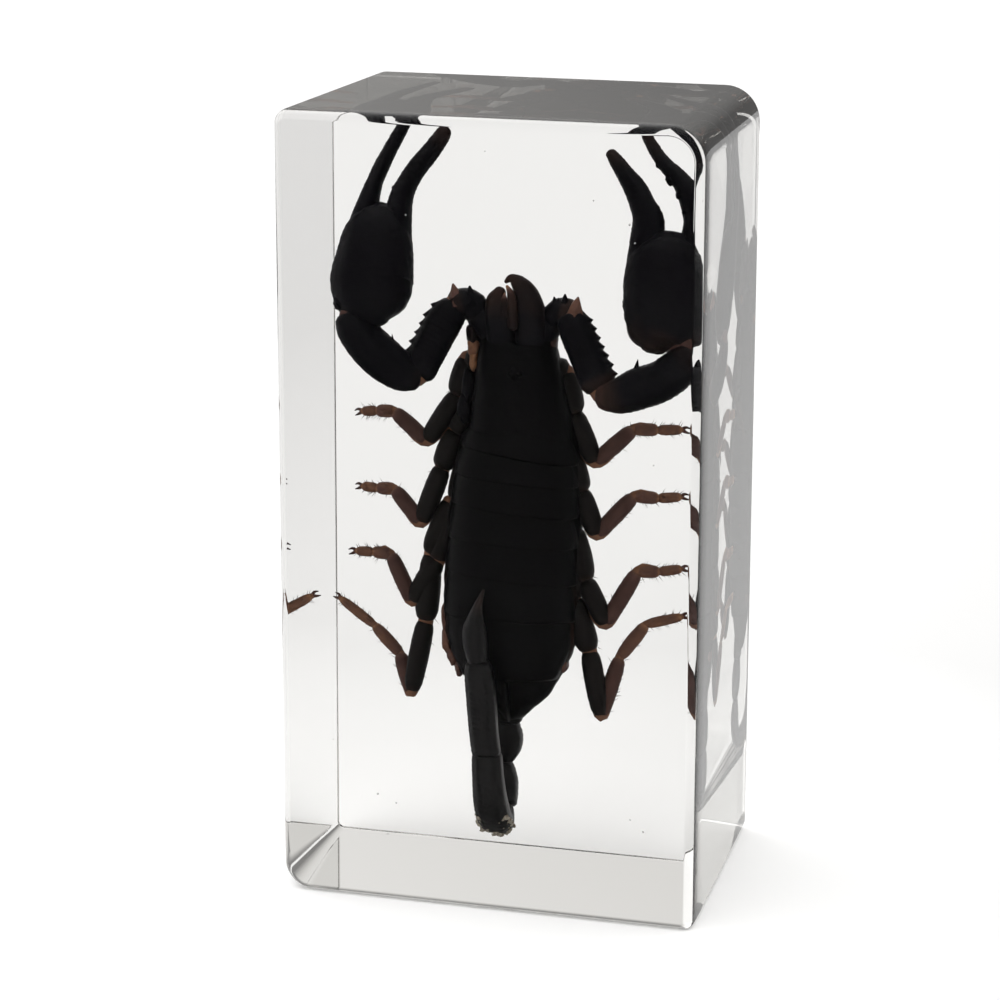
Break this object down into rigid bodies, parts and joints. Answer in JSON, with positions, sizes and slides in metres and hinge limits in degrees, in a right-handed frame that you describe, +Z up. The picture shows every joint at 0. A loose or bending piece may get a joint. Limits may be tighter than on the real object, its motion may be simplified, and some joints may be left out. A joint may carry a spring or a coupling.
{
  "type": "scorpion in resin block",
  "caption": "Upright block of clear cast resin with rounded corners, holding a dried black scorpion whose tail is folded over its back.",
  "frame": {"origin": "middle of the narrow end face that the block stands on", "axes": "+Z up along the block's length, +X to the right of someone who looks at the scorpion's back, +Y away from them through the block's thickness"},
  "size_m": [0.061, 0.042, 0.112],
  "materials": {
    "clear_resin": "polished, clear and colourless",
    "black_cuticle": "dried black cuticle, half gloss"
  },
  "bodies": {
    "root": {"resin_front": "clear_resin", "resin_back": "clear_resin", "scorpion": "black_cuticle"}
  },
  "joints": []
}
